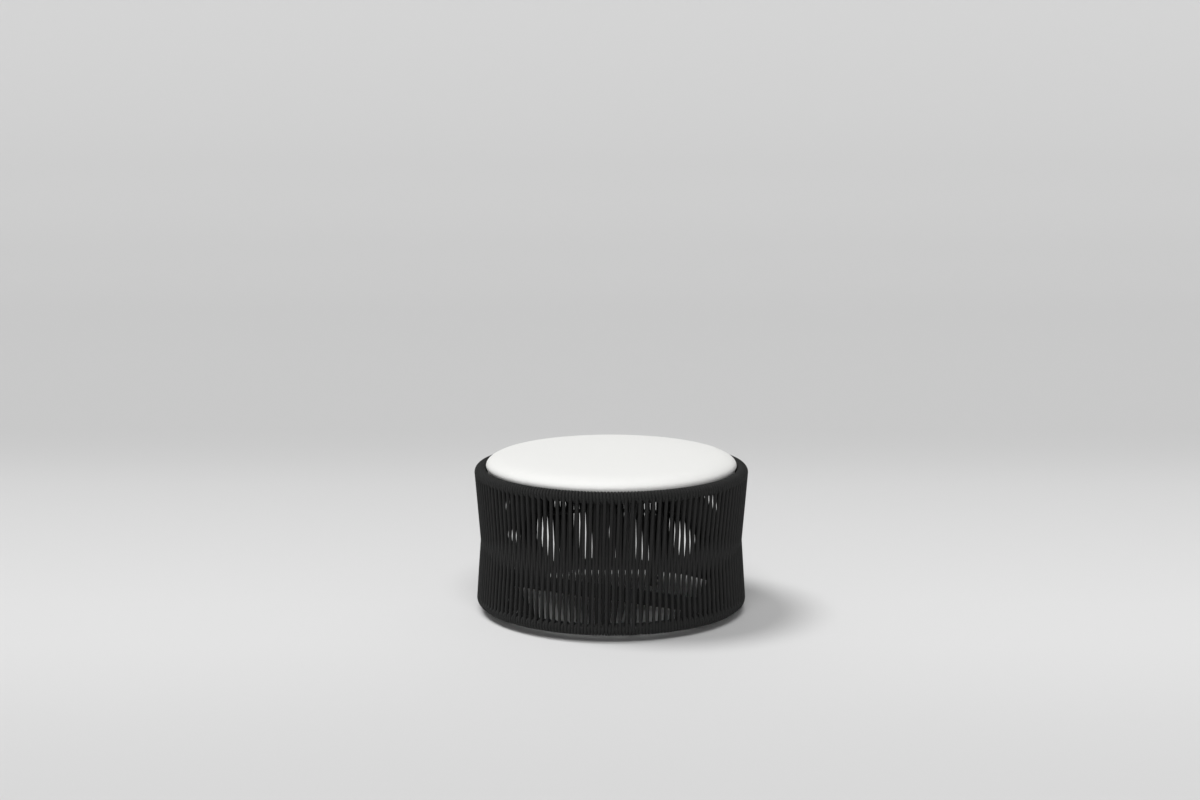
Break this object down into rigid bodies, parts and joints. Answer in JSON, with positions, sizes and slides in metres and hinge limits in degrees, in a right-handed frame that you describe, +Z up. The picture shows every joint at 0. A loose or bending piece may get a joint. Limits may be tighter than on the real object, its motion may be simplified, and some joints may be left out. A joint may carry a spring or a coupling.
{
  "type": "outdoor ottoman footstool",
  "caption": "Round hourglass footstool: dark rope strands wound over three hoops, with a loose white crowned cushion nested inside the rim.",
  "frame": {"origin": "on the floor under the middle of the stool", "axes": "+Z up; -Y is the front that the picture shows; +X to its right"},
  "size_m": [0.7598, 0.7598, 0.4475],
  "materials": {
    "rope": "round braided outdoor rope, charcoal, matt",
    "frame_paint": "fine-textured powder coat, charcoal",
    "glide_plastic": "moulded black plastic",
    "cushion_fabric": "fine plain-woven outdoor fabric, white",
    "foam": "open-cell foam",
    "zip_tape": "woven zip tape, off-white",
    "zip_metal": "satin"
  },
  "bodies": {
    "frame": {"rim_hoop": "frame_paint", "waist_hoop": "frame_paint", "base_hoop": "frame_paint", "rib_1": "frame_paint", "rib_2": "frame_paint", "rib_3": "frame_paint", "rib_4": "frame_paint", "rib_5": "frame_paint", "base_crossbar": "frame_paint", "seat_ring": "frame_paint", "slat_1": "frame_paint", "slat_2": "frame_paint", "slat_3": "frame_paint", "slat_4": "frame_paint", "slat_5": "frame_paint", "slat_6": "frame_paint", "slat_7": "frame_paint", "foot_plate_1": "frame_paint", "foot_plate_2": "frame_paint", "foot_plate_3": "frame_paint", "foot_plate_4": "frame_paint", "foot_plate_5": "frame_paint", "glide_1": "glide_plastic", "glide_2": "glide_plastic", "glide_3": "glide_plastic", "glide_4": "glide_plastic", "glide_5": "glide_plastic", "rope_length_1": "rope", "rope_length_2": "rope", "rope_length_3": "rope", "rope_length_4": "rope", "rope_length_5": "rope", "rope_length_6": "rope", "rope_length_7": "rope", "rope_length_8": "rope", "rope_length_9": "rope", "rope_length_10": "rope"},
    "cushion": {"cushion_cover": "cushion_fabric", "cushion_foam": "foam", "zip_tape": "zip_tape"},
    "zip_slider": {"zip_slider": "zip_metal"}
  },
  "joints": [
    {"name": "cushion_lift", "type": "slide", "parent": "frame", "child": "cushion", "axis": [0, 0, 1], "range_m": [0, 0.12]},
    {"name": "zip_slide", "type": "slide", "parent": "cushion", "child": "zip_slider", "axis": [1, 0, 0], "range_m": [0, 0.382]}
  ]
}
